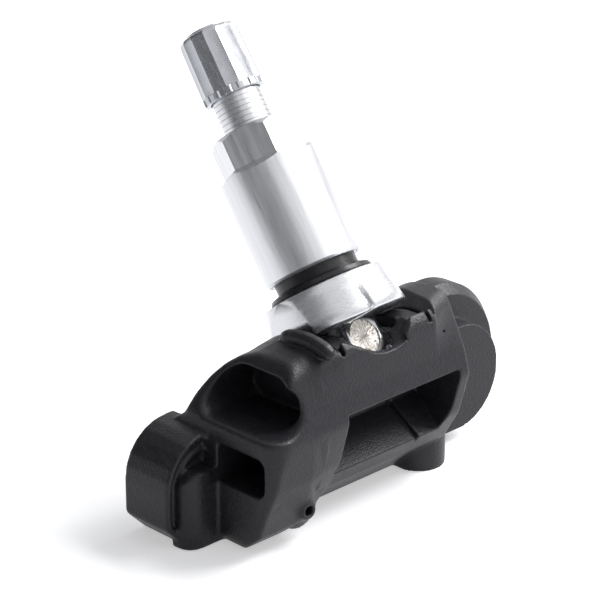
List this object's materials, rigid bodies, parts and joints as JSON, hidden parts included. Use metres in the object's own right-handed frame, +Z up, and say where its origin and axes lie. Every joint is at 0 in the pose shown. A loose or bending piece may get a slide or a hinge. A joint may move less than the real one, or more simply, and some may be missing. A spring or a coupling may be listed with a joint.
{
  "type": "tyre pressure sensor",
  "caption": "Tyre pressure sensor: moulded housing with battery and circuit board, and a tilting clamp-in metal valve with collar nut, rim seal and dust cap.",
  "frame": {"origin": "on the flat underside of the housing, straight below the middle of the valve's seat", "axes": "+X along the housing towards the battery, +Y to the side the valve leans to, +Z up"},
  "size_m": [0.0724, 0.0447, 0.0689],
  "materials": {
    "housing_plastic": "fine moulded grain, matte",
    "stem_aluminium": "turned and brushed, satin",
    "foot_steel": "bright, satin",
    "screw_steel": "rough end with radial marks",
    "seal_rubber": "smooth, slightly glossy",
    "washer_steel": "bright",
    "nut_aluminium": "brushed, satin",
    "cap_plastic": "moulded, slightly glossy grey",
    "cap_rubber": "smooth",
    "core_brass": "turned",
    "pin_brass": "turned",
    "ring_rubber": "smooth red rubber",
    "spring_steel": "bright wire",
    "board_laminate": "green solder mask",
    "chip_resin": "moulded",
    "gasket_silicone": "soft silicone",
    "coil_copper": "enamelled copper winding",
    "crystal_can": "plated can",
    "capacitor_ceramic": "fired ceramic",
    "antenna_steel": "tinned strip",
    "cell_steel": "nickel-plated can",
    "tab_steel": "rolled strip",
    "sealing_compound": "poured, smooth"
  },
  "bodies": {
    "housing": {"housing": "housing_plastic", "circuit_board": "board_laminate", "sensor_chip": "chip_resin", "port_gasket": "gasket_silicone", "lf_coil": "coil_copper", "crystal": "crystal_can", "chip_capacitors": "capacitor_ceramic", "antenna_loop": "antenna_steel", "battery_cell": "cell_steel", "battery_tab_rear": "tab_steel", "battery_tab_front": "tab_steel", "bay_seal": "sealing_compound", "cell_seal": "sealing_compound"},
    "valve": {"valve_stem": "stem_aluminium", "clamp_foot": "foot_steel", "fastening_screw": "screw_steel", "rim_seal": "seal_rubber", "core_sleeve": "core_brass", "core_spring": "spring_steel"},
    "washer": {"nut_washer": "washer_steel"},
    "nut": {"collar_nut": "nut_aluminium"},
    "cap_lining": {"cap_seal": "cap_rubber"},
    "cap": {"dust_cap": "cap_plastic"},
    "pin": {"core_pin": "pin_brass", "core_ring": "ring_rubber"}
  },
  "joints": [
    {"name": "valve_tilt", "type": "hinge", "parent": "housing", "child": "valve", "pos_m": [0, -0.00658, 0.01793], "axis": [1, 0, 0], "range_deg": [-6, 6]},
    {"name": "nut_lift", "type": "slide", "parent": "valve", "child": "washer", "axis": [0, 0.5878, 0.809], "range_m": [0, 0.00397]},
    {"name": "nut_turn", "type": "hinge", "parent": "washer", "child": "nut", "pos_m": [0, 0.01105, 0.0422], "axis": [0, 0.5878, 0.809], "range_deg": [0, 1801]},
    {"name": "cap_lift", "type": "slide", "parent": "valve", "child": "cap_lining", "axis": [0, 0.5878, 0.809], "range_m": [0, 0.00397]},
    {"name": "cap_turn", "type": "hinge", "parent": "cap_lining", "child": "cap", "pos_m": [0, 0.02457, 0.06081], "axis": [0, 0.5878, 0.809], "range_deg": [0, 1801]},
    {"name": "pin_press", "type": "slide", "parent": "valve", "child": "pin", "axis": [0, -0.5878, -0.809], "range_m": [0, 0.0012], "stiffness_N_per_m": 900, "springref_m": -0.001, "deforming": ["core_spring"]}
  ],
  "couplings": [
    {"joint": "nut_turn", "follows": "nut_lift", "rad_per_m": 7913.3},
    {"joint": "cap_turn", "follows": "cap_lift", "rad_per_m": 7913.3}
  ]
}
